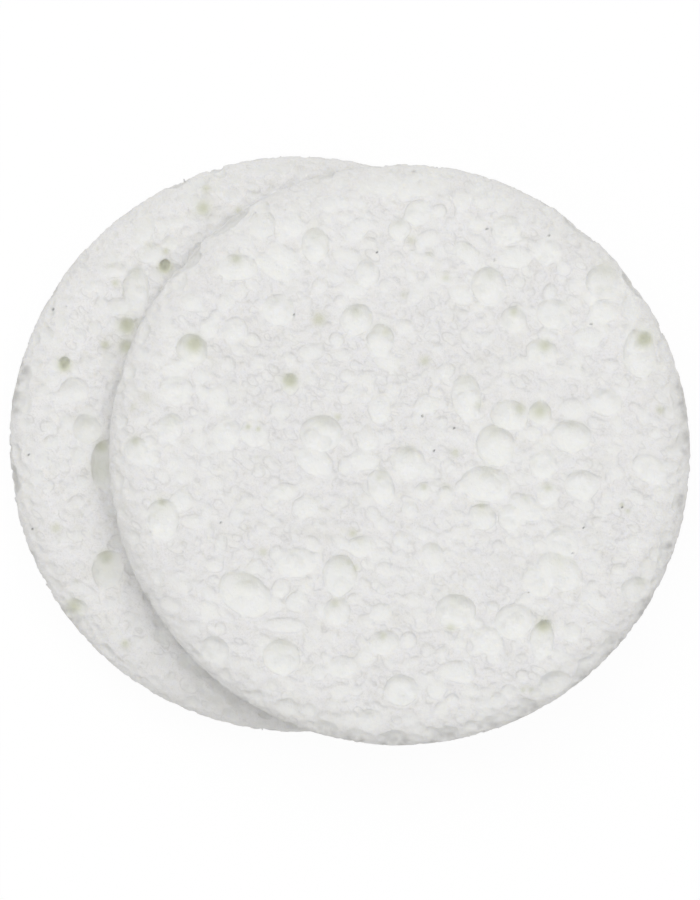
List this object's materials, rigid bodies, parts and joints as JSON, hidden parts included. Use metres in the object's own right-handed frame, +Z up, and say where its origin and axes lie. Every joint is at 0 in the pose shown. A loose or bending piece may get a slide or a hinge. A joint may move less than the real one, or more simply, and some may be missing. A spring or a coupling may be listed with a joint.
{
  "type": "facial cleansing sponge",
  "caption": "Round, flat, open-pored white cellulose face sponges, one lying loosely on the other and shifted to the side; soft when wet, for washing and wiping the face.",
  "frame": {"origin": "under the middle of the pair, on the surface that the lower sponge lies on", "axes": "+X along the way the upper sponge is shifted, which is the pair's longest side; +Z up through the thickness, which is its shortest"},
  "size_m": [0.0896, 0.0774, 0.0192],
  "materials": {
    "cellulose": "matte, open-pored regenerated cellulose, natural white"
  },
  "bodies": {
    "lower": {"lower_sponge": "cellulose"},
    "upper": {"upper_sponge": "cellulose"}
  },
  "joints": [
    {"name": "upper_lift", "type": "slide", "parent": "lower", "child": "upper", "axis": [0, 0, 1], "range_m": [0, 0.03]}
  ]
}
